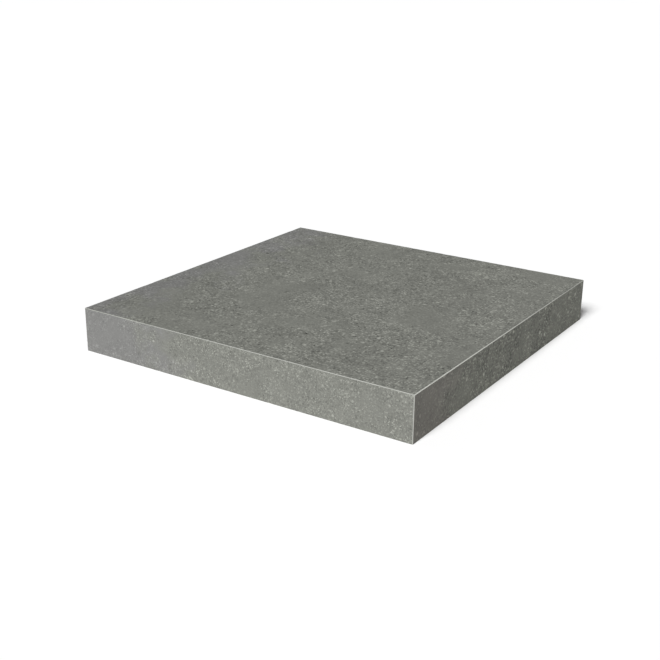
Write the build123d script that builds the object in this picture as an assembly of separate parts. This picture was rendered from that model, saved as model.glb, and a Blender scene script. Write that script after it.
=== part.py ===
"""Corner step tile: a porcelain tread with a mitred nosing strip glued under its two outer edges.

Millimetres, +Z up. The origin is the centre of the square plan, at the level of the strips' lower
edges. The front strip faces -Y and the side strip faces +X, so the nosing corner points to +X -Y.
The edges at -X and +Y butt against the neighbouring step tiles, and the underside is open to the step.
"""

import os

from build123d import *

# Driving dimensions
TREAD_WIDTH = 330.0  # along X, over the side strip
TREAD_DEPTH = 330.0  # along Y, over the front strip
NOSING_HEIGHT = 40.0  # from the strips' lower edges to the tread's face
TILE_THICKNESS = 10.0  # of the tile that all three pieces are sawn from
GLUE_LINE = 0.25  # thickness of the adhesive in every mitre
ARRIS = 0.5  # leg of the bevel ground along every mitred edge

# Planes and lines that the three pieces share
SIDE_FACE = TREAD_WIDTH / 2
FRONT_FACE = -TREAD_DEPTH / 2
NOSING_CORNER = Vector(SIDE_FACE, FRONT_FACE, NOSING_HEIGHT)
TOUCHING = 1e-6  # two places this close together are the same place

# Each mitre bisects the right angle between two outer faces and passes through the nosing corner
FRONT_MITRE = Plane(NOSING_CORNER, x_dir=(1, 0, 0), z_dir=(0, 1, 1))  # tread above, front strip below
SIDE_MITRE = Plane(NOSING_CORNER, x_dir=(0, 1, 0), z_dir=(-1, 0, 1))  # tread above, side strip below
CORNER_MITRE = Plane(NOSING_CORNER, x_dir=(0, 0, 1), z_dir=(-1, -1, 0))  # front strip above, side strip below


def slab(length, width, height):
    """A sawn blank that hangs from the nosing corner, running back along -X and +Y and down along -Z."""
    hang = (Align.MAX, Align.MIN, Align.MAX)
    return Pos(NOSING_CORNER) * Box(length, width, height, align=hang)


def above(piece, mitre):
    """The piece sawn along a mitre, on the side its normal points to, half a glue line back from it."""
    return split(piece, bisect_by=mitre.offset(GLUE_LINE / 2), keep=Keep.TOP)


def below(piece, mitre):
    """The piece sawn along a mitre, on the other side, half a glue line back from it."""
    return split(piece, bisect_by=mitre.offset(-GLUE_LINE / 2), keep=Keep.BOTTOM)


def ground_envelope():
    """The whole tile's outer block, with the bevels ground along the three edges of the nosing corner."""
    block = slab(TREAD_WIDTH, TREAD_DEPTH, NOSING_HEIGHT)
    arrises = block.edges().filter_by(lambda edge: edge.distance_to(NOSING_CORNER) < TOUCHING)
    return chamfer(arrises, ARRIS)


def step_space():
    """The space under the tread and behind the strips, which the built step fills."""
    clear_width = TREAD_WIDTH - TILE_THICKNESS
    clear_depth = TREAD_DEPTH - TILE_THICKNESS
    clear_height = NOSING_HEIGHT - TILE_THICKNESS
    inset = Pos(-TILE_THICKNESS, TILE_THICKNESS, -TILE_THICKNESS)
    return inset * slab(clear_width, clear_depth, clear_height)


def tread_tile(envelope):
    """The horizontal tile, mitred along its front and side edges."""
    blank = slab(TREAD_WIDTH, TREAD_DEPTH, TILE_THICKNESS)
    return above(above(blank, FRONT_MITRE), SIDE_MITRE) & envelope


def front_nosing_strip(envelope):
    """The upright strip under the front edge, mitred along its top and at the nosing corner."""
    blank = slab(TREAD_WIDTH, TILE_THICKNESS, NOSING_HEIGHT)
    return above(below(blank, FRONT_MITRE), CORNER_MITRE) & envelope


def side_nosing_strip(envelope):
    """The upright strip under the side edge, mitred along its top and at the nosing corner."""
    blank = slab(TILE_THICKNESS, TREAD_DEPTH, NOSING_HEIGHT)
    return below(below(blank, SIDE_MITRE), CORNER_MITRE) & envelope


def epoxy_mitre_joint(envelope, pieces):
    """The adhesive: all that the three sawn pieces leave of the tile's wall, ground flush with the bevels."""
    return envelope - step_space() - pieces


def main():
    envelope = ground_envelope()
    tread = tread_tile(envelope)
    front_strip = front_nosing_strip(envelope)
    side_strip = side_nosing_strip(envelope)
    parts = {
        "tread_tile": tread,
        "front_nosing_strip": front_strip,
        "side_nosing_strip": side_strip,
        "epoxy_mitre_joint": epoxy_mitre_joint(envelope, [tread, front_strip, side_strip]),
    }
    os.makedirs("parts", exist_ok=True)
    for node, part in parts.items():
        export_step(part, f"parts/{node}.step")


main()
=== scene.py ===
"""Blender add-on that dresses a porcelain corner step tile and sets it on a pale studio floor.

Metres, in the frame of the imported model: +Z up, the front strip faces -Y and the side strip faces +X.
The three porcelain pieces are worked up from their CAD solids: the mitred edges keep a pale ground arris,
the sawn edges are slightly chipped, and the backs get the pressed waffle that mortar keys into.
"""

import math
from typing import NamedTuple

import bmesh
import bpy
from bpy.props import FloatProperty, FloatVectorProperty, IntProperty, PointerProperty
from mathutils import Matrix, Vector, noise


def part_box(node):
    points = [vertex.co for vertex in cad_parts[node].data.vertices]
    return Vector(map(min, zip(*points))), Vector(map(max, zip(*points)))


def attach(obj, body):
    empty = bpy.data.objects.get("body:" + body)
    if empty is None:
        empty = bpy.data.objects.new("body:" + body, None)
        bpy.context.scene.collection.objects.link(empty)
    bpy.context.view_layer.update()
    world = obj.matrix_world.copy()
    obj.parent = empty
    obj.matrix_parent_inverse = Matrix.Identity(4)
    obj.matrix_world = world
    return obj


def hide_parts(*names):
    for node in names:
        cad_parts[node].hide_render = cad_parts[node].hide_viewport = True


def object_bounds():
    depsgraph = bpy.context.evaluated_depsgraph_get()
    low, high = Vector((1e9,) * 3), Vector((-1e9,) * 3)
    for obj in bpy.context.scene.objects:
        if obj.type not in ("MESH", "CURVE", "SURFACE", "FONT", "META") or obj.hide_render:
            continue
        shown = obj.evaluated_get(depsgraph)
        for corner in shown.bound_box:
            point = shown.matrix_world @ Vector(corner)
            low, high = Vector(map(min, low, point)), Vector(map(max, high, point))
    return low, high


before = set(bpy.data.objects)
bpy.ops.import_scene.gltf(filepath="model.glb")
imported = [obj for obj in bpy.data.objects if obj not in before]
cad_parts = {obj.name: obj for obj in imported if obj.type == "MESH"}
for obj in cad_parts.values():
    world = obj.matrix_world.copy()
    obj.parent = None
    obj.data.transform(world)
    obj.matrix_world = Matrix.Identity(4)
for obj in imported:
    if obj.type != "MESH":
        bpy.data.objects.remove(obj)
cad_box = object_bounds()

bl_info = {
    "name": "Corner Step Tile",
    "version": (1, 0, 0),
    "blender": (4, 5, 0),
    "location": "View3D > Sidebar > Step Tile",
    "description": "Dresses a mitred porcelain corner step tile and sets up its studio",
    "category": "Add Mesh",
}

BODY = "root"
X, Y, Z = 0, 1, 2

# Where the CAD pieces lie
LEFT_END, FRONT_FACE, FOOT = cad_box[0]
SIDE_FACE, BACK_END, TOP_FACE = cad_box[1]
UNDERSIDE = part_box("tread_tile")[0].z
FRONT_STRIP_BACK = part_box("front_nosing_strip")[1].y
SIDE_STRIP_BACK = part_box("side_nosing_strip")[0].x

# What a face of a porcelain piece is, which is also its material slot, and the mark that says so
PRINTED, ARRIS, SAWN, RIB, RECESS = range(5)
MITRE = 5  # hidden in the joint, and finished as sawn
OUTER = {PRINTED, SAWN, RIB}
KIND_MARK = "kind"
KEYED_MARK = "keyed"  # on the cells of a back that get a recess

# How far a face leans to the printed side, as the cosine between their normals
SQUARE_ON = 0.9
SLANTED = 0.5

# Unevenness along the worked edges: lengths in metres, shares, and how rare a chip is from 0 to 1
SLOW_WANDER = 0.022
QUICK_WANDER = 0.0035
SLOW_SHARE = 0.6
NICK_LENGTH = 0.004
NICK_VARIES = 0.8
CHIP_LENGTH = 0.007
CHIP_RARITY = 0.72
SEED_STEP = (17.3, 5.1, 9.7)  # sets the noise of one seed apart from the next

# The adhesive's bead: its thinnest and thickest and its lengths, in radii, and the corners of its section
BEAD_THICKNESS = (0.75, 1.15)
BEAD_STEP = 3.0
BEAD_END_GAP = 2.0
BEAD_SIDES = 10

# Parts of a piece's bake map for its print and its back: left, low, right and high, as shares of the map
BAKE_MAP = "OFBake"
SQUARE_AREAS = ((0.0, 0.0, 0.68, 0.79), (0.68, 0.0, 1.0, 0.79))
STRIP_AREAS = ((0.0, 0.0, 1.0, 0.50), (0.0, 0.50, 1.0, 0.79))
ROWS_FROM = 0.79  # above this, rows for the narrow sides
MAP_MARGIN = 0.004

# How pale the ground edges are, from the nosing corner to their far ends. Part of this is the ground body's
# own paleness and part is painted light and shade: the side edge, which the soft light barely reaches, is
# painted paler, and the front edge, which it lights fully, is painted darker, with the upright edge between
# them
FRONT_EDGE_PALENESS_AND_PAINTED_LIGHT = (0.54, 0.40)
SIDE_EDGE_PALENESS_AND_PAINTED_LIGHT = (1.34, 0.63)
SIDE_EDGE_FADES = (45.0, 315.0)  # between these distances from the front, in millimetres
UPRIGHT_EDGE_PALENESS_AND_PAINTED_LIGHT = 0.70

# What the layers of the stone print come to on average, so that their strength leaves its tone as it is
AVERAGE_NOISE = 0.5
AVERAGE_FLECKS = 0.07
AVERAGE_PORES = 0.03

# The layers that the finishes are made of
USUAL_NOISE = (0.3, 0.7)  # what cloudy noise mostly keeps between
GRAIN_CORE = 0.3  # share of a grain's radius that has its full strength
CROWDING_HELPS = 0.3  # what crowding adds to a grain's chance of being kept
ELSEWHERE = 900.0  # far enough away in a pattern, in millimetres, to be unlike it
UNEVEN_DRIFT = 40.0  # how far a drift of tone runs ahead or lags, in millimetres
BLADE_OFFSET = (400.0, -350.0, 230.0)  # puts the centre of the saw's marks off the tile, in millimetres

# Numerical limits and units
SAME_PLACE = 1e-6
FLAT_ANGLE = math.radians(0.5)
SQUARE_ENOUGH = math.radians(60.0)
MILLIMETRES = 1000.0


# Settings

class StepTileForm(bpy.types.PropertyGroup):
    """Sizes of the relief that the CAD solids leave out."""

    keying_pitch: FloatProperty(
        name="Keying Pitch",
        description="Distance from one recess of the waffle back to the next",
        default=0.016, subtype="DISTANCE", unit="LENGTH",
    )
    keying_rib: FloatProperty(
        name="Keying Rib",
        description="Width of the ribs between the recesses",
        default=0.0032, subtype="DISTANCE", unit="LENGTH",
    )
    keying_depth: FloatProperty(
        name="Keying Depth",
        description="Depth of the recesses below the ribs",
        default=0.0008, subtype="DISTANCE", unit="LENGTH",
    )
    keying_border: FloatProperty(
        name="Keying Border",
        description="Plain band along the edges of each back",
        default=0.002, subtype="DISTANCE", unit="LENGTH",
    )
    edge_step: FloatProperty(
        name="Edge Step",
        description="Length of the pieces that a worked edge is cut into",
        default=0.002, subtype="DISTANCE", unit="LENGTH",
    )
    arris_wander: FloatProperty(
        name="Arris Wander",
        description="How far the ground bevel eats unevenly into the printed face",
        default=0.00008, subtype="DISTANCE", unit="LENGTH",
    )
    saw_nick: FloatProperty(
        name="Saw Nick",
        description="Leg of the small break along a sawn edge",
        default=0.00012, subtype="DISTANCE", unit="LENGTH",
    )
    chip_depth: FloatProperty(
        name="Chip Depth",
        description="Reach of the largest chip along a sawn edge",
        default=0.0009, subtype="DISTANCE", unit="LENGTH",
    )
    bead_radius: FloatProperty(
        name="Bead Radius",
        description="Radius of the adhesive squeezed out along the inner corners",
        default=0.0014, subtype="DISTANCE", unit="LENGTH",
    )
    bead_seed: IntProperty(
        name="Bead Seed",
        description="Picks another run of thick and thin along the squeezed out adhesive",
        default=7,
    )


class StepTileFinish(bpy.types.PropertyGroup):
    """Colours and sheen of the porcelain and the adhesive."""

    stone: FloatVectorProperty(
        name="Stone",
        description="Ground colour of the printed stone",
        default=(0.1677, 0.1707, 0.1526), subtype="COLOR", min=0.0, max=1.0,
    )
    cool_stone: FloatVectorProperty(
        name="Cool Stone",
        description="Greyer tone that the print drifts to at the left end",
        default=(0.1700, 0.1700, 0.1645), subtype="COLOR", min=0.0, max=1.0,
    )
    olive_stone: FloatVectorProperty(
        name="Olive Stone",
        description="Slightly greener tone of the side strip",
        default=(0.1530, 0.1563, 0.1335), subtype="COLOR", min=0.0, max=1.0,
    )
    warm_stone: FloatVectorProperty(
        name="Warm Stone",
        description="Browner tone that the side strip drifts to at the nosing corner",
        default=(0.1596, 0.1530, 0.1353), subtype="COLOR", min=0.0, max=1.0,
    )
    arris: FloatVectorProperty(
        name="Ground Arris",
        description="Porcelain body where it was ground along the mitres",
        default=(0.46, 0.462, 0.43), subtype="COLOR", min=0.0, max=1.0,
    )
    body: FloatVectorProperty(
        name="Porcelain Body",
        description="Porcelain body on the sawn edges and the back",
        default=(0.30, 0.297, 0.272), subtype="COLOR", min=0.0, max=1.0,
    )
    kiln_wash: FloatVectorProperty(
        name="Kiln Wash",
        description="White release wash left on the ribs of the back",
        default=(0.60, 0.59, 0.56), subtype="COLOR", min=0.0, max=1.0,
    )
    adhesive: FloatVectorProperty(
        name="Adhesive",
        description="Tinted epoxy in the mitres",
        default=(0.42, 0.43, 0.395), subtype="COLOR", min=0.0, max=1.0,
    )
    shine: FloatProperty(
        name="Shine",
        description="Specular level of the matte porcelain",
        default=0.25, min=0.0, max=1.0, subtype="FACTOR",
    )


class StepTileStage(bpy.types.PropertyGroup):
    """The floor, the light and the camera."""

    floor_reach: FloatProperty(
        name="Floor Reach",
        description="Half the side of the floor",
        default=20.0, subtype="DISTANCE", unit="LENGTH",
    )
    floor_colour: FloatVectorProperty(
        name="Floor",
        description="Colour of the floor",
        default=(0.90, 0.90, 0.90), subtype="COLOR", min=0.0, max=1.0,
    )
    sky: FloatProperty(
        name="Sky",
        description="Strength of the even light from all round",
        default=0.16, min=0.0,
    )
    backdrop: FloatProperty(
        name="Backdrop",
        description="Brightness of the sky where the camera sees it",
        default=1.0, min=0.0,
    )
    key_strength: FloatProperty(
        name="Key Strength",
        description="Strength of the soft light high in front of the tile",
        default=4.18, min=0.0,
    )
    key_azimuth: FloatProperty(
        name="Key Azimuth",
        description="Direction of the soft light, turned from the front towards the side strip",
        default=math.radians(5.0), subtype="ANGLE", unit="ROTATION",
    )
    key_elevation: FloatProperty(
        name="Key Elevation",
        description="Height of the soft light above the horizon",
        default=math.radians(46.2), subtype="ANGLE", unit="ROTATION",
    )
    key_spread: FloatProperty(
        name="Key Spread",
        description="Angle that the soft light fills, which blurs the shadow",
        default=math.radians(24.0), subtype="ANGLE", unit="ROTATION",
    )
    look_at: FloatVectorProperty(
        name="Look At",
        description="Point that the camera is aimed at",
        default=(0.0119, -0.04332, 0.020), subtype="TRANSLATION", unit="LENGTH",
    )
    azimuth: FloatProperty(
        name="Camera Azimuth",
        description="Camera direction, turned from the front towards the side strip",
        default=math.radians(33.187), subtype="ANGLE", unit="ROTATION",
    )
    elevation: FloatProperty(
        name="Camera Elevation",
        description="Camera height above the horizon",
        default=math.radians(20.479), subtype="ANGLE", unit="ROTATION",
    )
    roll: FloatProperty(
        name="Camera Roll",
        description="Turn of the camera about its own axis",
        default=math.radians(0.617), subtype="ANGLE", unit="ROTATION",
    )
    distance: FloatProperty(
        name="Camera Distance",
        description="From the camera to the point it is aimed at",
        default=0.9727, subtype="DISTANCE", unit="LENGTH",
    )
    lens: FloatProperty(
        name="Lens",
        description="Focal length in millimetres",
        default=59.92, unit="CAMERA",
    )


# Nodes

def plug(tree, socket, value):
    """Links a socket to another node's output, or sets it to a plain value. A colour is made opaque."""
    if isinstance(value, bpy.types.NodeSocket):
        tree.links.new(value, socket)
    elif hasattr(socket.default_value, "__len__") and len(value) < len(socket.default_value):
        socket.default_value = (*value, 1.0)
    else:
        socket.default_value = value


def plug_all(tree, node, inputs):
    """Plugs a node's inputs, each by its name or its place in the list."""
    for socket, value in inputs.items():
        plug(tree, node.inputs[socket], value)


def new_node(tree, kind, inputs, **settings):
    """A new node with its settings made and its inputs plugged."""
    node = tree.nodes.new(kind)
    for setting, value in settings.items():
        setattr(node, setting, value)
    plug_all(tree, node, inputs)
    return node


def blank_material(name):
    """A new material with its tree and its shader."""
    material = bpy.data.materials.new(name)
    material.use_nodes = True
    tree = material.node_tree
    return material, tree, tree.nodes["Principled BSDF"]


def place_in_millimetres(tree, offset=(0.0, 0.0, 0.0), turn=(0.0, 0.0, 0.0)):
    """Object coordinates in millimetres, shifted and turned to show another part of a pattern."""
    coordinates = tree.nodes.new("ShaderNodeTexCoord")
    inputs = {
        "Vector": coordinates.outputs["Object"],
        "Location": offset,
        "Rotation": turn,
        "Scale": (MILLIMETRES,) * 3,
    }
    return new_node(tree, "ShaderNodeMapping", inputs).outputs["Vector"]


def along_axes(tree):
    """The place along X, Y and Z, in millimetres."""
    return new_node(tree, "ShaderNodeSeparateXYZ", {"Vector": place_in_millimetres(tree)}).outputs


def mottle(tree, place, size, detail=2.0, roughness=0.5, distortion=0.0):
    """Cloudy noise whose patches are about that many millimetres across, from 0 to 1."""
    inputs = {
        "Vector": place,
        "Scale": 1.0 / size,
        "Detail": detail,
        "Roughness": roughness,
        "Distortion": distortion,
    }
    return new_node(tree, "ShaderNodeTexNoise", inputs).outputs["Fac"]


def ruffled(tree, place, size, reach):
    """A place pushed about by up to that reach, which makes the outlines drawn there uneven."""
    texture = new_node(tree, "ShaderNodeTexNoise", {"Vector": place, "Scale": 1.0 / size})
    inputs = {0: texture.outputs["Color"], 1: (AVERAGE_NOISE,) * 3}
    push = new_node(tree, "ShaderNodeVectorMath", inputs, operation="SUBTRACT")
    inputs = {0: push.outputs["Vector"], 1: (2.0 * reach,) * 3, 2: place}
    return new_node(tree, "ShaderNodeVectorMath", inputs, operation="MULTIPLY_ADD").outputs["Vector"]


def granules(tree, place, size, radius, crowding, rare, common):
    """Grains about that many millimetres apart, from 0 to 1. More of them are kept where they crowd."""
    cells = new_node(tree, "ShaderNodeTexVoronoi", {"Vector": place, "Scale": 1.0 / size})
    core = spread(tree, cells.outputs["Distance"], radius, GRAIN_CORE * radius)
    chance = new_node(tree, "ShaderNodeSeparateColor", {"Color": cells.outputs["Color"]})
    drawn = weighted(tree, chance.outputs["Red"], (crowding, CROWDING_HELPS))
    return maths(tree, "MULTIPLY", core, spread(tree, drawn, rare, common))


def spread(tree, value, low, high, to_low=0.0, to_high=1.0, smooth=True):
    """A value moved from one range to another, held at its ends."""
    inputs = {"Value": value, "From Min": low, "From Max": high, "To Min": to_low, "To Max": to_high}
    kind = "SMOOTHSTEP" if smooth else "LINEAR"
    return new_node(tree, "ShaderNodeMapRange", inputs, interpolation_type=kind).outputs["Result"]


def varied(tree, cloud, low, high):
    """A value that goes evenly from low to high as cloudy noise goes over its usual range."""
    return spread(tree, cloud, *USUAL_NOISE, low, high, smooth=False)


def maths(tree, operation, *values):
    """One step of arithmetic."""
    return new_node(tree, "ShaderNodeMath", dict(enumerate(values)), operation=operation).outputs["Value"]


def total(tree, *values):
    """The sum of several values."""
    amount = values[0]
    for value in values[1:]:
        amount = maths(tree, "ADD", amount, value)
    return amount


def weighted(tree, base, *terms):
    """A base value plus several values, each times its weight."""
    amount = base
    for value, weight in terms:
        amount = maths(tree, "MULTIPLY_ADD", value, weight, amount)
    return amount


def mixed(tree, kind, share, first, second):
    """Two colours or two values mixed by a share."""
    mix = new_node(tree, "ShaderNodeMix", {}, data_type=kind)
    used = [socket for socket in mix.inputs if socket.enabled]
    for socket, value in zip(used, (share, first, second)):
        plug(tree, socket, value)
    return next(socket for socket in mix.outputs if socket.enabled)


def tint(tree, share, first, second):
    """Two colours mixed by a share."""
    return mixed(tree, "RGBA", share, first, second)


def blended(tree, share, first, second):
    """Two values mixed by a share."""
    return mixed(tree, "FLOAT", share, first, second)


def brightened(tree, colour, value):
    """A colour times a value around 1."""
    inputs = {"Vector": colour, "Scale": value}
    return new_node(tree, "ShaderNodeVectorMath", inputs, operation="SCALE").outputs["Vector"]


def relief(tree, height, depth, strength):
    """A bumped normal, with its depth in metres."""
    inputs = {"Height": height, "Distance": depth, "Strength": strength}
    return new_node(tree, "ShaderNodeBump", inputs).outputs["Normal"]


def finish_shader(tree, shader, colour, roughness, normal, shine):
    """Plugs a finished surface into its shader."""
    inputs = {"Base Color": colour, "Roughness": roughness, "Normal": normal, "Specular IOR Level": shine}
    plug_all(tree, shader, inputs)


# Finishes of the porcelain and the adhesive

class StonePrint(NamedTuple):
    """Which part of the stone pattern a piece shows, and how. Places are in millimetres."""

    offset: tuple
    turn: tuple
    contrast: float  # of the texture, all its layers together
    coarseness: float  # of the texture, as a factor on the size of its layers
    cloudiness: float  # how much the clouds lighten and darken the print
    ground_colour: str  # a colour among the finish's settings, as is the drift's
    drift_axis: int  # the tone drifts along this axis, between the next two places
    drift_from: float
    drift_to: float
    drift_colour: str
    drift_calm: float  # how much of the texture is left where the tone has drifted
    graininess: float = 0.86
    patchiness: float = 0.45
    fleckiness: float = 0.62
    sparkle: float = 0.9  # of the large flecks
    pores: float = 0.30
    calmest: float = 0.42  # how much of the texture shows in calm patches, and in lively ones
    liveliest: float = 1.12


def drifted_share(tree, place, sheet):
    """How far the tone has drifted: nothing at one end of the piece and all of it at the other, unevenly."""
    along = along_axes(tree)[sheet.drift_axis]
    clouds = mottle(tree, place, size=30.0, detail=3.0, roughness=0.6)
    uneven = varied(tree, clouds, -UNEVEN_DRIFT, UNEVEN_DRIFT)
    return spread(tree, maths(tree, "ADD", along, uneven), sheet.drift_from, sheet.drift_to)


def pale_flecks(tree, place, sheet):
    """Small and large pale grains with uneven outlines, crowded together in drifts."""
    coarse = sheet.coarseness
    clouds = mottle(tree, place, size=40.0, detail=4.0, roughness=0.65, distortion=0.6)
    drifts = spread(tree, clouds, 0.36, 0.64)
    uneven = ruffled(tree, place, size=1.5 * coarse, reach=0.9 * coarse)
    small = granules(tree, uneven, size=1.9 * coarse, radius=0.60, crowding=drifts, rare=0.50, common=1.15)
    large = granules(tree, uneven, size=6.0 * coarse, radius=0.40, crowding=drifts, rare=0.85, common=1.10)
    return maths(tree, "MAXIMUM", small, maths(tree, "MULTIPLY", large, sheet.sparkle))


def liveliness(tree, place, drifted, sheet):
    """How strongly the texture shows: more in lively patches, less in calm ones and where the tone drifts."""
    clouds = mottle(tree, place, size=45.0 * sheet.coarseness, detail=3.0, roughness=0.6)
    mood = blended(tree, spread(tree, clouds, 0.34, 0.55), sheet.calmest, sheet.liveliest)
    calm = blended(tree, drifted, 1.0, sheet.drift_calm)
    return maths(tree, "MULTIPLY", calm, mood)


def printed_stone(name, sheet):
    """The matte stone print of one piece: soft clouds, dense grain, pale flecks in drifts and a few pores."""
    finish = bpy.context.scene.step_tile_finish
    material, tree, shader = blank_material(name)
    place = place_in_millimetres(tree, sheet.offset, sheet.turn)
    elsewhere = place_in_millimetres(tree, [along + ELSEWHERE for along in sheet.offset], sheet.turn)
    coarse = sheet.coarseness
    drifted = drifted_share(tree, place, sheet)
    clouds = mottle(tree, place, size=36.0, detail=3.0, roughness=0.7)
    patches = mottle(tree, place, size=12.0 * coarse, roughness=1.0)
    grain = mottle(tree, place, size=2.2 * coarse, detail=1.0, roughness=1.0)
    pores = spread(tree, mottle(tree, place, size=2.8 * coarse, detail=1.0), 0.36, 0.26)
    flecks = pale_flecks(tree, place, sheet)
    average = (
        AVERAGE_NOISE * (sheet.patchiness + sheet.graininess)
        + AVERAGE_FLECKS * sheet.fleckiness
        - AVERAGE_PORES * sheet.pores
    )
    texture = weighted(
        tree,
        -average,
        (patches, sheet.patchiness),
        (grain, sheet.graininess),
        (flecks, sheet.fleckiness),
        (pores, -sheet.pores),
    )
    lively = maths(tree, "MULTIPLY", texture, liveliness(tree, elsewhere, drifted, sheet))
    cloudy = varied(tree, clouds, 1.0 - sheet.cloudiness, 1.0 + sheet.cloudiness)
    value = weighted(tree, cloudy, (lively, sheet.contrast))
    ground = tint(tree, drifted, getattr(finish, sheet.ground_colour), getattr(finish, sheet.drift_colour))
    roughness = varied(tree, patches, 0.66, 0.80)
    height = weighted(tree, 0.0, (grain, 1.0), (flecks, 0.5), (pores, -0.6))
    normal = relief(tree, height, depth=0.00012, strength=0.6)
    finish_shader(tree, shader, brightened(tree, ground, value), roughness, normal, finish.shine)
    return material


def arris_paleness_and_painted_light(tree):
    """How pale an edge is: the ground body's own paleness times painted light and shade, most on the side
    edge by the nosing corner, which the soft light barely reaches, and least along the front edge, which it
    lights fully.

    An edge lies about as far in from each of the two faces that meet there, and runs away from the third.
    """
    x, y, z = along_axes(tree)
    from_side = maths(tree, "SUBTRACT", SIDE_FACE * MILLIMETRES, x)
    from_front = maths(tree, "SUBTRACT", y, FRONT_FACE * MILLIMETRES)
    from_top = maths(tree, "SUBTRACT", TOP_FACE * MILLIMETRES, z)
    front_length = (SIDE_FACE - LEFT_END) * MILLIMETRES
    front_edge = spread(tree, from_side, 0.0, front_length, *FRONT_EDGE_PALENESS_AND_PAINTED_LIGHT, smooth=False)
    side_edge = spread(tree, from_front, *SIDE_EDGE_FADES, *SIDE_EDGE_PALENESS_AND_PAINTED_LIGHT)
    along_upright = maths(tree, "GREATER_THAN", from_top, from_front)
    along_front = maths(tree, "GREATER_THAN", from_side, maths(tree, "MAXIMUM", from_front, from_top))
    off_front = blended(tree, along_upright, side_edge, UPRIGHT_EDGE_PALENESS_AND_PAINTED_LIGHT)
    return blended(tree, along_front, off_front, front_edge)


def ground_arris():
    """The pale bevel, where the grinder has cut through the print into the body, with painted light and shade
    that make it paler or darker from edge to edge.
    """
    finish = bpy.context.scene.step_tile_finish
    material, tree, shader = blank_material("ground_arris")
    place = place_in_millimetres(tree)
    grit = mottle(tree, place, size=0.8, roughness=0.6)
    wear = mottle(tree, place, size=9.0, detail=3.0, roughness=0.6)
    value = total(tree, varied(tree, grit, 0.94, 1.06), varied(tree, wear, -0.10, 0.10))
    roughness = varied(tree, wear, 0.45, 0.6)
    # Painted light and shade: the arris colour is scaled edge by edge, paler where the soft light barely
    # reaches and darker where it lights fully
    colour = brightened(tree, finish.arris, maths(tree, "MULTIPLY", value, arris_paleness_and_painted_light(tree)))
    normal = relief(tree, grit, depth=0.00005, strength=0.5)
    finish_shader(tree, shader, colour, roughness, normal, finish.shine)
    return material


def saw_marks(tree):
    """The faint rings that a saw blade leaves, from 0 to 1."""
    inputs = {
        "Vector": place_in_millimetres(tree, BLADE_OFFSET),
        "Scale": 0.28,
        "Distortion": 3.0,
        "Detail Scale": 0.4,
    }
    rings = new_node(tree, "ShaderNodeTexWave", inputs, wave_type="RINGS", rings_direction="SPHERICAL")
    return rings.outputs["Fac"]


def sawn_body():
    """The porcelain body on a sawn edge: dense, speckled and scored by the blade."""
    finish = bpy.context.scene.step_tile_finish
    material, tree, shader = blank_material("sawn_body")
    place = place_in_millimetres(tree)
    speckle = mottle(tree, place, size=0.9, roughness=0.65)
    grains = granules(tree, place, size=1.6, radius=0.45, crowding=0.0, rare=0.6, common=1.1)
    patches = mottle(tree, place, size=16.0, detail=3.0, roughness=0.55)
    marks = saw_marks(tree)
    value = total(
        tree,
        varied(tree, speckle, 0.82, 1.14),
        blended(tree, grains, 0.0, 0.30),
        varied(tree, patches, -0.06, 0.06),
        blended(tree, marks, -0.02, 0.02),
    )
    roughness = varied(tree, speckle, 0.62, 0.80)
    normal = relief(tree, weighted(tree, speckle, (marks, 0.8)), depth=0.00006, strength=0.6)
    finish_shader(tree, shader, brightened(tree, finish.body, value), roughness, normal, finish.shine)
    return material


def pressed_back(name, wash_low, wash_high):
    """The unglazed back. The white kiln wash lies thick on the ribs and thin in the recesses."""
    finish = bpy.context.scene.step_tile_finish
    material, tree, shader = blank_material(name)
    place = place_in_millimetres(tree)
    speckle = mottle(tree, place, size=1.1, roughness=0.65)
    patches = mottle(tree, place, size=30.0, detail=4.0, roughness=0.6)
    smears = mottle(tree, place, size=9.0, detail=4.0, roughness=0.65, distortion=0.8)
    value = total(tree, varied(tree, speckle, 0.90, 1.10), varied(tree, patches, -0.08, 0.08))
    thickness = weighted(tree, 0.0, (smears, 0.7), (patches, 0.3))
    wash = spread(tree, thickness, 0.38, 0.62, wash_low, wash_high)
    colour = tint(tree, wash, brightened(tree, finish.body, value), finish.kiln_wash)
    roughness = varied(tree, smears, 0.78, 0.92)
    normal = relief(tree, speckle, depth=0.00012, strength=0.6)
    finish_shader(tree, shader, colour, roughness, normal, finish.shine)
    return material


def tinted_epoxy():
    """Filled epoxy, tinted near the porcelain, with a little cloud and sanding dust."""
    finish = bpy.context.scene.step_tile_finish
    material, tree, shader = blank_material("tinted_epoxy")
    place = place_in_millimetres(tree)
    dust = mottle(tree, place, size=0.7, roughness=0.6)
    clouds = mottle(tree, place, size=11.0, detail=3.0, roughness=0.6)
    value = total(tree, varied(tree, dust, 0.95, 1.05), varied(tree, clouds, -0.10, 0.10))
    roughness = varied(tree, clouds, 0.42, 0.6)
    normal = relief(tree, dust, depth=0.00004, strength=0.5)
    finish_shader(tree, shader, brightened(tree, finish.adhesive, value), roughness, normal, finish.shine)
    return material


def shared_finish(name, make):
    """A finish that several pieces share, made once."""
    return bpy.data.materials.get(name) or make()


# Porcelain pieces

def merged_copy(node):
    """The CAD node as a mesh in the making, its loose triangles joined back into whole flat faces."""
    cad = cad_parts[node].data
    shape = bmesh.new()
    corners = [shape.verts.new(vertex.co) for vertex in cad.vertices]
    for triangle in cad.polygons:
        shape.faces.new([corners[index] for index in triangle.vertices])
    bmesh.ops.remove_doubles(shape, verts=shape.verts, dist=SAME_PLACE)
    bmesh.ops.dissolve_limit(shape, angle_limit=FLAT_ANGLE, verts=shape.verts, edges=shape.edges)
    shape.normal_update()
    return shape


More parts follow.
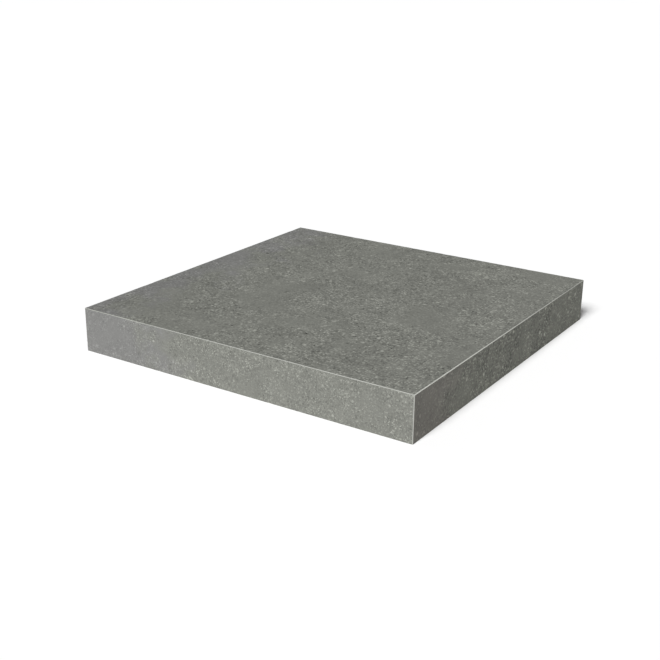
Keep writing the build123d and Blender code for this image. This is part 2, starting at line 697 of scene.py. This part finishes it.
def tell_faces_apart(shape, outward):
    """Marks each face as printed, ground, sawn, mitred or back, from how it leans to the printed side."""
    kinds = shape.faces.layers.int.new(KIND_MARK)
    for face in shape.faces:
        lean = face.normal.dot(outward)
        if lean > SQUARE_ON:
            face[kinds] = PRINTED
        elif lean > SLANTED:
            face[kinds] = ARRIS
        elif lean > -SLANTED:
            face[kinds] = SAWN
        elif lean > -SQUARE_ON:
            face[kinds] = MITRE
        else:
            face[kinds] = RIB
        face.material_index = SAWN if face[kinds] == MITRE else face[kinds]
    return kinds


def cut_across(shape, axis, places):
    """Cuts every face along planes square to an axis."""
    normal = Vector((0.0, 0.0, 0.0))
    normal[axis] = 1.0
    for place in places:
        whole = shape.verts[:] + shape.edges[:] + shape.faces[:]
        bmesh.ops.bisect_plane(shape, geom=whole, plane_co=normal * place, plane_no=normal, dist=SAME_PLACE)


def cell_lines(low, high, border, pitch):
    """Where the waffle's cells begin and end between the two edges of a back."""
    inside = high - low - 2.0 * border
    count = round(inside / pitch)
    return [low + border + inside * step / count for step in range(count + 1)]


def split_edges(shape, edges, longest):
    """Divides each edge into equal steps no longer than that."""
    by_count = {}
    for edge in edges:
        by_count.setdefault(math.ceil(edge.calc_length() / longest), []).append(edge)
    for count, alike in by_count.items():
        if count > 1:
            bmesh.ops.subdivide_edges(shape, edges=alike, cuts=count - 1)


def kinds_beside(edge, kinds):
    """What the two faces along an edge are."""
    return {face[kinds] for face in edge.link_faces}


def unevenness(point, size, seed):
    """Smooth noise along the piece, from 0 to 1, with bumps about that long."""
    shift = Vector([seed * step for step in SEED_STEP])
    return 0.5 + 0.5 * noise.noise(point / size + shift)


def square_edges(shape, kinds):
    """The edges where two outer faces meet squarely, as the saw leaves them."""
    return [
        edge
        for edge in shape.edges
        if kinds_beside(edge, kinds) <= OUTER and edge.calc_face_angle() > SQUARE_ENOUGH
    ]


def arris_edges(shape, kinds):
    """The edges where the ground bevel meets the print."""
    return [edge for edge in shape.edges if kinds_beside(edge, kinds) == {PRINTED, ARRIS}]


def along_face(way, face):
    """The part of a direction that lies in a face."""
    return (way - face.normal * way.dot(face.normal)).normalized()


def wander_arris(shape, kinds, reach):
    """Lets the ground bevel eat a little further into the printed face here and there."""
    moves = {}
    for edge in arris_edges(shape, kinds):
        printed = next(face for face in edge.link_faces if face[kinds] == PRINTED)
        bevel = next(face for face in edge.link_faces if face[kinds] == ARRIS)
        for corner in edge.verts:
            if len({face[kinds] for face in corner.link_faces}) == 2:
                moves[corner] = -along_face(bevel.normal, printed)
    for corner, inward in moves.items():
        slow = unevenness(corner.co, SLOW_WANDER, seed=1)
        quick = unevenness(corner.co, QUICK_WANDER, seed=2)
        corner.co += inward * reach * (SLOW_SHARE * slow + (1.0 - SLOW_SHARE) * quick)


def break_square_edges(shape, kinds, nick):
    """Bevels the square edges a little and gives the faces that this makes."""
    made = bmesh.ops.bevel(
        shape, geom=square_edges(shape, kinds), offset=nick, offset_type="OFFSET", segments=1, profile=0.5,
        affect="EDGES", clamp_overlap=True, material=SAWN,
    )
    broken = made["faces"]
    for face in broken:
        face[kinds] = SAWN
    for face in broken:
        if any(PRINTED in kinds_beside(edge, kinds) for edge in face.edges):
            face.material_index = PRINTED
    return broken


def chip_edges(broken, kinds, nick, chip):
    """Lets the broken edges eat unevenly into the flat faces beside them, with a chip now and then."""
    slanting = set(broken)
    moves = {}
    for face in broken:
        for edge in face.edges:
            flat = [beside for beside in edge.link_faces if beside not in slanting]
            if len(flat) != 1 or flat[0][kinds] not in OUTER:
                continue
            for corner in edge.verts:
                moves.setdefault(corner, along_face(face.normal, flat[0]))
    for corner, outward in moves.items():
        normals = [face.normal for face in corner.link_faces if face not in slanting]
        if any(normals[0].angle(normal) > FLAT_ANGLE for normal in normals):
            continue
        quick = unevenness(corner.co, NICK_LENGTH, seed=3)
        rare = max(0.0, unevenness(corner.co, CHIP_LENGTH, seed=4) - CHIP_RARITY) / (1.0 - CHIP_RARITY)
        corner.co -= outward * (nick * NICK_VARIES * quick + chip * rare)


def tidy_faces(shape):
    """Merges what the bevel left in one place and cuts faces with many corners into triangles."""
    bmesh.ops.remove_doubles(shape, verts=shape.verts, dist=SAME_PLACE)
    many_cornered = [face for face in shape.faces if len(face.verts) > 4]
    bmesh.ops.triangulate(shape, faces=many_cornered, ngon_method="BEAUTY")
    bmesh.ops.dissolve_degenerate(shape, dist=SAME_PLACE, edges=shape.edges)


def porcelain_shape(node, outward, across, form):
    """A piece before its back is pressed, with its cells cut and its edges worked, and its smallest cell."""
    shape = merged_copy(node)
    kinds = tell_faces_apart(shape, outward)
    back = next(face for face in shape.faces if face[kinds] == RIB)
    lines = {}
    for axis in across:
        low = min(corner.co[axis] for corner in back.verts)
        high = max(corner.co[axis] for corner in back.verts)
        lines[axis] = cell_lines(low, high, form.keying_border, form.keying_pitch)
    for axis, places in lines.items():
        cut_across(shape, axis, places)
    keyed = shape.faces.layers.bool.new(KEYED_MARK)
    for face in shape.faces:
        middle = face.calc_center_median()
        within = all(places[0] < middle[axis] < places[-1] for axis, places in lines.items())
        face[keyed] = face[kinds] == RIB and within
    split_edges(shape, arris_edges(shape, kinds) + square_edges(shape, kinds), form.edge_step)
    wander_arris(shape, kinds, form.arris_wander)
    broken = break_square_edges(shape, kinds, form.saw_nick)
    chip_edges(broken, kinds, form.saw_nick, form.chip_depth)
    tidy_faces(shape)
    sizes = [places[1] - places[0] for places in lines.values()]
    return shape, min(sizes)


def new_tree(name, inputs):
    """A Geometry Nodes tree with named inputs, and the identifier that a modifier sets each of them by."""
    tree = bpy.data.node_groups.new(name, "GeometryNodeTree")
    for way in ("INPUT", "OUTPUT"):
        tree.interface.new_socket("Geometry", in_out=way, socket_type="NodeSocketGeometry")
    identifiers = {}
    for title, kind in inputs.items():
        socket = tree.interface.new_socket(title, in_out="INPUT", socket_type=kind)
        identifiers[title] = socket.identifier
    return tree, identifiers


def end_tree(tree, geometry, finish, selection=True):
    """Ends a Geometry Nodes tree: instances made real, and a finish on the faces selected."""
    realized = new_node(tree, "GeometryNodeRealizeInstances", {"Geometry": geometry})
    inputs = {"Geometry": realized.outputs["Geometry"], "Selection": selection, "Material": finish}
    painted = new_node(tree, "GeometryNodeSetMaterial", inputs)
    new_node(tree, "NodeGroupOutput", {"Geometry": painted.outputs["Geometry"]})


def waffle_tree():
    """Geometry Nodes that sink a drafted recess into every face marked as keyed."""
    inputs = {
        "Recess Share": "NodeSocketFloat",
        "Recess Depth": "NodeSocketFloat",
        "Floor Share": "NodeSocketFloat",
        "Recess Finish": "NodeSocketMaterial",
    }
    tree, identifiers = new_tree("waffle_back", inputs)
    start = tree.nodes.new("NodeGroupInput").outputs
    keyed = new_node(tree, "GeometryNodeInputNamedAttribute", {"Name": KEYED_MARK}, data_type="BOOLEAN")
    inputs = {"Mesh": start["Geometry"], "Selection": keyed.outputs["Attribute"], "Offset Scale": 0.0}
    inset = new_node(tree, "GeometryNodeExtrudeMesh", inputs)
    cell = inset.outputs["Top"]
    inputs = {"Geometry": inset.outputs["Mesh"], "Selection": cell, "Scale": start["Recess Share"]}
    outline = new_node(tree, "GeometryNodeScaleElements", inputs)
    inward = maths(tree, "MULTIPLY", start["Recess Depth"], -1.0)
    inputs = {"Mesh": outline.outputs["Geometry"], "Selection": cell, "Offset Scale": inward}
    sunk = new_node(tree, "GeometryNodeExtrudeMesh", inputs)
    bottom = sunk.outputs["Top"]
    inputs = {"Geometry": sunk.outputs["Mesh"], "Selection": bottom, "Scale": start["Floor Share"]}
    drafted = new_node(tree, "GeometryNodeScaleElements", inputs)
    recess = new_node(tree, "FunctionNodeBooleanMath", {0: bottom, 1: sunk.outputs["Side"]}, operation="OR")
    end_tree(tree, drafted.outputs["Geometry"], start["Recess Finish"], recess.outputs["Boolean"])
    return tree, identifiers


def sort_into_charts(mesh, across):
    """The faces by where they go on the bake map: the print, the back, then each narrow side by its lean."""
    kinds = mesh.attributes[KIND_MARK].data
    charts = {"print": [], "back": []}
    for face in mesh.polygons:
        kind = kinds[face.index].value
        if face.material_index == PRINTED:
            chart = "print"
        elif kind in (RIB, MITRE):
            chart = "back"
        else:
            lean = max(across, key=lambda axis: abs(face.normal[axis]))
            chart = (kind, lean, face.normal[lean] > 0.0)
        charts.setdefault(chart, []).append(face)
    return charts


def fill_area(mesh, faces, axes, area):
    """Lays faces on an area of the bake map, as seen square to two axes and stretched to fill it."""
    places = mesh.uv_layers[BAKE_MAP].uv
    corners = [corner for face in faces for corner in face.loop_indices]
    for way, axis in enumerate(axes):
        along = {corner: mesh.vertices[mesh.loops[corner].vertex_index].co[axis] for corner in corners}
        start = min(along.values())
        reach = max(along.values()) - start
        low = area[way] + MAP_MARGIN
        high = area[way + 2] - MAP_MARGIN
        for corner, value in along.items():
            places[corner].vector[way] = low + (high - low) * (value - start) / reach


def lay_out_map(mesh, across):
    """Gives a piece its bake map, on which no two charts overlap."""
    depth = next(axis for axis in (X, Y, Z) if axis not in across)
    charts = sort_into_charts(mesh, across)
    areas = list(SQUARE_AREAS if depth == Z else STRIP_AREAS)
    rows = len(charts) - len(areas)
    row_height = (1.0 - ROWS_FROM) / rows
    for row in range(rows):
        low = ROWS_FROM + row * row_height
        areas.append((0.0, low, 1.0, low + row_height))
    mesh.uv_layers.new(name=BAKE_MAP)
    for (chart, faces), area in zip(charts.items(), areas):
        if chart in ("print", "back"):
            axes = across
        else:
            axes = (next(axis for axis in across if axis != chart[1]), depth)
        fill_area(mesh, faces, axes, area)


def drop_marks(mesh):
    """Removes the marks that the making of a piece leaves on its faces."""
    for mark in (KIND_MARK, KEYED_MARK):
        mesh.attributes.remove(mesh.attributes[mark])


def grown(worked, name, tree, settings):
    """Runs a Geometry Nodes tree on an object and puts the plain mesh that this makes in its place."""
    modifier = worked.modifiers.new(tree.name, "NODES")
    modifier.node_group = tree
    for identifier, value in settings.items():
        modifier[identifier] = value
    graph = bpy.context.evaluated_depsgraph_get()
    mesh = bpy.data.meshes.new_from_object(worked.evaluated_get(graph))
    mesh.name = name
    piece = bpy.data.objects.new(name, mesh)
    bpy.context.scene.collection.objects.link(piece)
    bpy.data.objects.remove(worked)
    return piece


def porcelain_piece(name, node, outward, across, sheet):
    """Makes one porcelain piece, which takes the place of its CAD node."""
    scene = bpy.context.scene
    form = scene.step_tile_form
    shape, cell = porcelain_shape(node, outward, across, form)
    mesh = bpy.data.meshes.new(name + "_blank")
    shape.to_mesh(mesh)
    shape.free()
    finishes = [
        printed_stone(name + "_print", sheet),
        shared_finish("ground_arris", ground_arris),
        shared_finish("sawn_body", sawn_body),
        shared_finish("rib_back", lambda: pressed_back("rib_back", wash_low=0.15, wash_high=0.75)),
        shared_finish("recess_back", lambda: pressed_back("recess_back", wash_low=0.0, wash_high=0.25)),
    ]
    for finish in finishes:
        mesh.materials.append(finish)
    blank = bpy.data.objects.new(name + "_blank", mesh)
    scene.collection.objects.link(blank)
    tree, identifiers = waffle_tree()
    settings = {
        identifiers["Recess Share"]: 1.0 - form.keying_rib / cell,
        identifiers["Recess Depth"]: form.keying_depth,
        identifiers["Floor Share"]: 1.0 - form.keying_depth / cell,
        identifiers["Recess Finish"]: finishes[RECESS],
    }
    piece = grown(blank, name, tree, settings)
    lay_out_map(piece.data, across)
    drop_marks(piece.data)
    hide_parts(node)
    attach(piece, BODY)


class STEPTILE_OT_tread(bpy.types.Operator):
    """Make the porcelain tread, with its ground arrises and waffle back"""

    bl_idname = "steptile.tread"
    bl_label = "Tread"

    def execute(self, context):
        porcelain_piece(
            "tread_porcelain", "tread_tile", Vector((0.0, 0.0, 1.0)), (X, Y),
            StonePrint(
                offset=(0.0, 0.0, 0.0), turn=(0.4, 0.6, 0.2),
                contrast=1.46, coarseness=1.0, cloudiness=0.06,
                ground_colour="stone", drift_colour="cool_stone", drift_calm=0.8,
                drift_axis=X, drift_from=-105.0, drift_to=-165.0,
            ),
        )
        return {"FINISHED"}


class STEPTILE_OT_nosing_strips(bpy.types.Operator):
    """Make the two porcelain nosing strips that hang from the tread"""

    bl_idname = "steptile.nosing_strips"
    bl_label = "Nosing Strips"

    def execute(self, context):
        porcelain_piece(
            "front_strip_porcelain", "front_nosing_strip", Vector((0.0, -1.0, 0.0)), (X, Z),
            StonePrint(
                offset=(310.0, 120.0, 540.0), turn=(0.5, 0.3, 0.7),
                contrast=0.985, coarseness=0.70, cloudiness=0.052,
                ground_colour="stone", drift_colour="cool_stone", drift_calm=0.62,
                drift_axis=X, drift_from=-55.0, drift_to=-115.0,
                fleckiness=0.76, sparkle=0.95, calmest=0.40, liveliest=1.16,
            ),
        )
        porcelain_piece(
            "side_strip_porcelain", "side_nosing_strip", Vector((1.0, 0.0, 0.0)), (Y, Z),
            StonePrint(
                offset=(510.0, -430.0, 270.0), turn=(0.8, 0.4, 0.3),
                contrast=1.68, coarseness=0.95, cloudiness=0.20,
                ground_colour="olive_stone", drift_colour="warm_stone", drift_calm=0.5,
                drift_axis=Y, drift_from=-60.0, drift_to=-160.0,
                patchiness=0.60, fleckiness=0.70, sparkle=1.5, pores=0.12, calmest=0.44, liveliest=1.12,
            ),
        )
        return {"FINISHED"}


# Adhesive

def bead_tree():
    """Geometry Nodes that run an uneven bead of adhesive along a path."""
    inputs = {
        "Radius": "NodeSocketFloat",
        "Step": "NodeSocketFloat",
        "Seed": "NodeSocketInt",
        "Finish": "NodeSocketMaterial",
    }
    tree, identifiers = new_tree("squeezed_bead", inputs)
    start = tree.nodes.new("NodeGroupInput").outputs
    curve = new_node(tree, "GeometryNodeMeshToCurve", {"Mesh": start["Geometry"]})
    inputs = {"Curve": curve.outputs["Curve"], "Length": start["Step"]}
    stepped = new_node(tree, "GeometryNodeResampleCurve", inputs, mode="LENGTH")
    thickness = new_node(tree, "FunctionNodeRandomValue", {"Seed": start["Seed"]}, data_type="FLOAT")
    limits = [socket for socket in thickness.inputs if socket.type == "VALUE"]
    for socket, limit in zip(limits, BEAD_THICKNESS):
        socket.default_value = limit
    picked = next(socket for socket in thickness.outputs if socket.type == "VALUE")
    evened = new_node(tree, "GeometryNodeBlurAttribute", {"Value": picked, "Iterations": 2})
    inputs = {"Curve": stepped.outputs["Curve"], "Radius": evened.outputs["Value"]}
    sized = new_node(tree, "GeometryNodeSetCurveRadius", inputs)
    inputs = {"Resolution": BEAD_SIDES, "Radius": start["Radius"]}
    section = new_node(tree, "GeometryNodeCurvePrimitiveCircle", inputs)
    inputs = {
        "Curve": sized.outputs["Curve"],
        "Profile Curve": section.outputs["Curve"],
        "Scale": tree.nodes.new("GeometryNodeInputRadius").outputs["Radius"],
        "Fill Caps": True,
    }
    swept = new_node(tree, "GeometryNodeCurveToMesh", inputs)
    end_tree(tree, swept.outputs["Mesh"], start["Finish"])
    return tree, identifiers


def bead_path(radius):
    """The inner corners that adhesive is squeezed out along: three runs that meet behind the nosing."""
    inner_corner = Vector((SIDE_STRIP_BACK, FRONT_STRIP_BACK, UNDERSIDE))
    ends = (
        Vector((LEFT_END, FRONT_STRIP_BACK, UNDERSIDE)),
        Vector((SIDE_STRIP_BACK, BACK_END, UNDERSIDE)),
        Vector((SIDE_STRIP_BACK, FRONT_STRIP_BACK, FOOT)),
    )
    places = []
    runs = []
    for end in ends:
        gap = (inner_corner - end).normalized() * BEAD_END_GAP * radius
        runs.append((len(places), len(places) + 1))
        places.extend((end + gap, inner_corner))
    mesh = bpy.data.meshes.new("squeezed_bead_path")
    mesh.from_pydata(places, runs, [])
    path = bpy.data.objects.new("squeezed_bead_path", mesh)
    bpy.context.scene.collection.objects.link(path)
    return path


class STEPTILE_OT_epoxy_joint(bpy.types.Operator):
    """Finish the adhesive in the mitres and the bead that it leaves along the inner corners"""

    bl_idname = "steptile.epoxy_joint"
    bl_label = "Epoxy Joint"

    def execute(self, context):
        form = context.scene.step_tile_form
        finish = tinted_epoxy()
        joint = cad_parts["epoxy_mitre_joint"]
        joint.data.materials.clear()
        joint.data.materials.append(finish)
        tree, identifiers = bead_tree()
        settings = {
            identifiers["Radius"]: form.bead_radius,
            identifiers["Step"]: BEAD_STEP * form.bead_radius,
            identifiers["Seed"]: form.bead_seed,
            identifiers["Finish"]: finish,
        }
        piece = grown(bead_path(form.bead_radius), "epoxy_squeeze_out", tree, settings)
        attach(piece, BODY)
        return {"FINISHED"}


# Stage

def studio_floor(stage):
    """A large pale floor under the tile."""
    material, tree, shader = blank_material("studio_floor")
    inputs = {"Base Color": stage.floor_colour, "Roughness": 0.9, "Specular IOR Level": 0.0}
    plug_all(tree, shader, inputs)
    reach = stage.floor_reach
    mesh = bpy.data.meshes.new("studio_floor")
    corners = [(-reach, -reach, FOOT), (reach, -reach, FOOT), (reach, reach, FOOT), (-reach, reach, FOOT)]
    mesh.from_pydata(corners, [], [(0, 1, 2, 3)])
    mesh.materials.append(material)
    floor = bpy.data.objects.new("studio_floor", mesh)
    bpy.context.scene.collection.objects.link(floor)


def direction(azimuth, elevation):
    """From the tile towards a lamp or camera. Azimuth 0 is in front of the tile, at -Y."""
    level = math.cos(elevation)
    return Vector((math.sin(azimuth) * level, -math.cos(azimuth) * level, math.sin(elevation)))


def studio_light(stage):
    """Even light from all round, and one soft light high in front."""
    scene = bpy.context.scene
    world = bpy.data.worlds.new("studio_sky")
    world.use_nodes = True
    tree = world.node_tree
    seen = tree.nodes.new("ShaderNodeLightPath").outputs["Is Camera Ray"]
    strength = blended(tree, seen, stage.sky, stage.backdrop)
    plug_all(tree, tree.nodes["Background"], {"Color": (1.0, 1.0, 1.0), "Strength": strength})
    scene.world = world
    lamp = bpy.data.lights.new("soft_key", "SUN")
    lamp.energy = stage.key_strength
    lamp.angle = stage.key_spread
    key = bpy.data.objects.new("soft_key", lamp)
    towards_lamp = direction(stage.key_azimuth, stage.key_elevation)
    key.rotation_euler = towards_lamp.to_track_quat("Z", "Y").to_euler()
    scene.collection.objects.link(key)


def studio_camera(stage):
    """The camera, aimed as for the reference view."""
    scene = bpy.context.scene
    data = bpy.data.cameras.new("studio_camera")
    data.lens = stage.lens
    data.clip_end = 4.0 * stage.floor_reach  # beyond the floor's far corners
    camera = bpy.data.objects.new("studio_camera", data)
    backward = direction(stage.azimuth, stage.elevation)
    right = Vector((math.cos(stage.azimuth), math.sin(stage.azimuth), 0.0))
    upward = backward.cross(right)
    turned = Matrix((right, upward, backward)).transposed() @ Matrix.Rotation(stage.roll, 3, "Z")
    place = Vector(stage.look_at) + backward * stage.distance
    camera.matrix_world = Matrix.Translation(place) @ turned.to_4x4()
    scene.collection.objects.link(camera)
    scene.camera = camera


class STEPTILE_OT_stage(bpy.types.Operator):
    """Set up the floor, the light and the camera"""

    bl_idname = "steptile.stage"
    bl_label = "Stage"

    def execute(self, context):
        stage = context.scene.step_tile_stage
        studio_floor(stage)
        studio_light(stage)
        studio_camera(stage)
        context.scene.view_settings.view_transform = "Standard"
        return {"FINISHED"}


# Sidebar and registration

class STEPTILE_PT_sidebar(bpy.types.Panel):
    """The step tile's settings and its pieces"""

    bl_label = "Corner Step Tile"
    bl_idname = "STEPTILE_PT_sidebar"
    bl_space_type = "VIEW_3D"
    bl_region_type = "UI"
    bl_category = "Step Tile"

    def draw(self, context):
        scene = context.scene
        for settings in (scene.step_tile_form, scene.step_tile_finish, scene.step_tile_stage):
            box = self.layout.box()
            for name in settings.__annotations__:
                box.prop(settings, name)
        for operator in OPERATORS:
            self.layout.operator(operator.bl_idname)


SETTINGS = {
    "step_tile_form": StepTileForm,
    "step_tile_finish": StepTileFinish,
    "step_tile_stage": StepTileStage,
}
OPERATORS = (STEPTILE_OT_tread, STEPTILE_OT_nosing_strips, STEPTILE_OT_epoxy_joint, STEPTILE_OT_stage)
CLASSES = (*SETTINGS.values(), *OPERATORS, STEPTILE_PT_sidebar)


def register():
    """Adds the add-on's classes and its settings."""
    for made in CLASSES:
        bpy.utils.register_class(made)
    for name, group in SETTINGS.items():
        setattr(bpy.types.Scene, name, PointerProperty(type=group))


def unregister():
    """Takes them away again."""
    for name in SETTINGS:
        delattr(bpy.types.Scene, name)
    for made in reversed(CLASSES):
        bpy.utils.unregister_class(made)


def main():
    """Dresses the tile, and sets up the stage."""
    register()
    bpy.ops.steptile.tread()
    bpy.ops.steptile.nosing_strips()
    bpy.ops.steptile.epoxy_joint()
    bpy.ops.steptile.stage()
    bpy.context.view_layer.update()


if __name__ == "__main__":
    main()
